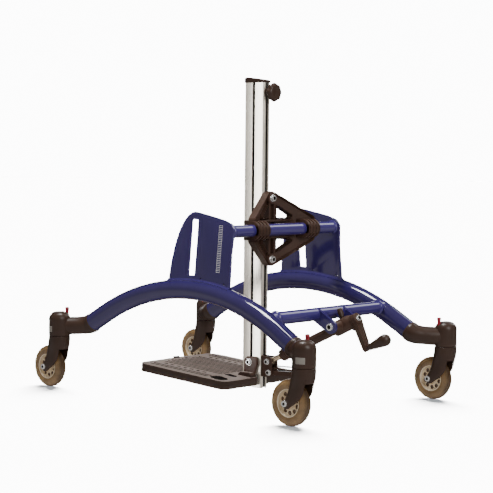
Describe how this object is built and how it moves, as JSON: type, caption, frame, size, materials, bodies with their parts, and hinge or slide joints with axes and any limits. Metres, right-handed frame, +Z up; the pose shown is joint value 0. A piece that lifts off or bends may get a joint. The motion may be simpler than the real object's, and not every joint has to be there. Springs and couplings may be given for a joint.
{
  "type": "standing frame base",
  "caption": "Standing frame base: blue arched legs on swivel casters carry a slotted column that tilts on a crossbar by a hand crank, with a sliding footplate.",
  "frame": {"origin": "middle of the outline on the floor, under the wheels", "axes": "+Z up, +Y towards the crank at the rear, -Y towards the footplate's toe edge, +X to the right when facing the crank from the front"},
  "size_m": [0.561, 0.8837, 0.7445],
  "materials": {
    "blue_paint": "deep blue gloss powder coat",
    "zinc": "bright zinc plate",
    "black_casting": "satin black-brown moulding",
    "black_plastic": "satin black-brown plastic",
    "column_alloy": "warm silver anodised extrusion",
    "amber_tyre": "translucent amber polyurethane",
    "ivory_hub": "pale moulded hub",
    "red_pin": "gloss red plastic"
  },
  "bodies": {
    "base": {"arch_right": "blue_paint", "arch_left": "blue_paint", "plate_right": "blue_paint", "plate_left": "blue_paint", "crossbar": "blue_paint", "cross_tube": "blue_paint", "lug_right": "blue_paint", "lug_left": "blue_paint", "lug_bolts": "zinc", "housing_rr": "black_casting", "housing_rl": "black_casting", "housing_fr": "black_casting", "housing_fl": "black_casting"},
    "column": {"column": "column_alloy", "end_cap": "black_plastic", "tilt_bracket": "black_casting", "bracket_bolts": "zinc", "rod_bracket": "black_casting", "rod_bolts": "zinc", "knob_washer": "black_plastic"},
    "clamp_knob": {"knob": "black_plastic"},
    "footplate": {"footplate": "black_plastic", "foot_cheeks": "black_plastic", "foot_bolts": "zinc"},
    "lever": {"foot_lever": "black_plastic"},
    "spindle": {"spindle_tube": "black_casting"},
    "spindle_knob": {"stop_knob": "black_plastic"},
    "rod": {"rod": "zinc"},
    "crank": {"crank_arm": "black_plastic", "crank_bolt": "zinc"},
    "grip": {"grip": "black_plastic"},
    "fork_rr": {"fork_rr": "black_casting", "axle_rr": "zinc"},
    "wheel_rr": {"tyre_rr": "amber_tyre", "hub_rr": "ivory_hub"},
    "lock_rr": {"pin_rr": "red_pin"},
    "fork_rl": {"fork_rl": "black_casting", "axle_rl": "zinc"},
    "wheel_rl": {"tyre_rl": "amber_tyre", "hub_rl": "ivory_hub"},
    "lock_rl": {"pin_rl": "red_pin"},
    "fork_fr": {"fork_fr": "black_casting", "axle_fr": "zinc"},
    "wheel_fr": {"tyre_fr": "amber_tyre", "hub_fr": "ivory_hub"},
    "lock_fr": {"pin_fr": "red_pin"},
    "fork_fl": {"fork_fl": "black_casting", "axle_fl": "zinc"},
    "wheel_fl": {"tyre_fl": "amber_tyre", "hub_fl": "ivory_hub"},
    "lock_fl": {"pin_fl": "red_pin"}
  },
  "joints": [
    {"name": "column_tilt", "type": "hinge", "parent": "base", "child": "column", "pos_m": [0, 0.13113, 0.395], "axis": [1, 0, 0], "range_deg": [-6, 5]},
    {"name": "spindle_swing", "type": "hinge", "parent": "base", "child": "spindle", "pos_m": [0, 0.31213, 0.18701], "axis": [1, 0, 0], "range_deg": [-4.2, 3.5]},
    {"name": "rod_slide", "type": "slide", "parent": "spindle", "child": "rod", "axis": [0, -0.9042, -0.427], "range_m": [-0.0235, 0.0282]},
    {"name": "crank_turn", "type": "hinge", "parent": "spindle", "child": "crank", "pos_m": [0, 0.31213, 0.18701], "axis": [0, 0.9042, 0.427], "continuous": true},
    {"name": "grip_turn", "type": "hinge", "parent": "crank", "child": "grip", "pos_m": [0, 0.34202, 0.12371], "axis": [0, 0.9042, 0.427], "continuous": true},
    {"name": "spindle_knob_turn", "type": "hinge", "parent": "spindle", "child": "spindle_knob", "pos_m": [0, 0.31574, 0.18872], "axis": [0, -0.427, 0.9042], "continuous": true},
    {"name": "clamp_knob_turn", "type": "hinge", "parent": "column", "child": "clamp_knob", "pos_m": [0, 0.07663, 0.711], "axis": [0, 1, 0], "continuous": true},
    {"name": "footplate_height", "type": "slide", "parent": "column", "child": "footplate", "axis": [0, 0, 1], "range_m": [0, 0.18]},
    {"name": "lever_press", "type": "hinge", "parent": "column", "child": "lever", "pos_m": [0, 0.10113, 0.06], "axis": [1, 0, 0], "range_deg": [-10, 6]},
    {"name": "swivel_rr", "type": "hinge", "parent": "base", "child": "fork_rr", "pos_m": [0.255, 0.41213, 0.127], "axis": [0, 0, 1], "continuous": true},
    {"name": "roll_rr", "type": "hinge", "parent": "fork_rr", "child": "wheel_rr", "pos_m": [0.255, 0.37813, 0.05], "axis": [1, 0, 0], "continuous": true},
    {"name": "lock_rr", "type": "slide", "parent": "base", "child": "lock_rr", "axis": [0, 0, 1], "range_m": [-0.005, 0]},
    {"name": "swivel_rl", "type": "hinge", "parent": "base", "child": "fork_rl", "pos_m": [-0.255, 0.41213, 0.127], "axis": [0, 0, 1], "continuous": true},
    {"name": "roll_rl", "type": "hinge", "parent": "fork_rl", "child": "wheel_rl", "pos_m": [-0.255, 0.37813, 0.05], "axis": [1, 0, 0], "continuous": true},
    {"name": "lock_rl", "type": "slide", "parent": "base", "child": "lock_rl", "axis": [0, 0, 1], "range_m": [-0.005, 0]},
    {"name": "swivel_fr", "type": "hinge", "parent": "base", "child": "fork_fr", "pos_m": [0.255, -0.35787, 0.127], "axis": [0, 0, 1], "continuous": true},
    {"name": "roll_fr", "type": "hinge", "parent": "fork_fr", "child": "wheel_fr", "pos_m": [0.255, -0.39187, 0.05], "axis": [1, 0, 0], "continuous": true},
    {"name": "lock_fr", "type": "slide", "parent": "base", "child": "lock_fr", "axis": [0, 0, 1], "range_m": [-0.005, 0]},
    {"name": "swivel_fl", "type": "hinge", "parent": "base", "child": "fork_fl", "pos_m": [-0.255, -0.35787, 0.127], "axis": [0, 0, 1], "continuous": true},
    {"name": "roll_fl", "type": "hinge", "parent": "fork_fl", "child": "wheel_fl", "pos_m": [-0.255, -0.39187, 0.05], "axis": [1, 0, 0], "continuous": true},
    {"name": "lock_fl", "type": "slide", "parent": "base", "child": "lock_fl", "axis": [0, 0, 1], "range_m": [-0.005, 0]}
  ],
  "couplings": [
    {"joint": "spindle_swing", "follows": "column_tilt", "ratio": 0.68277},
    {"joint": "rod_slide", "follows": "column_tilt", "m_per_rad": -0.26498}
  ]
}
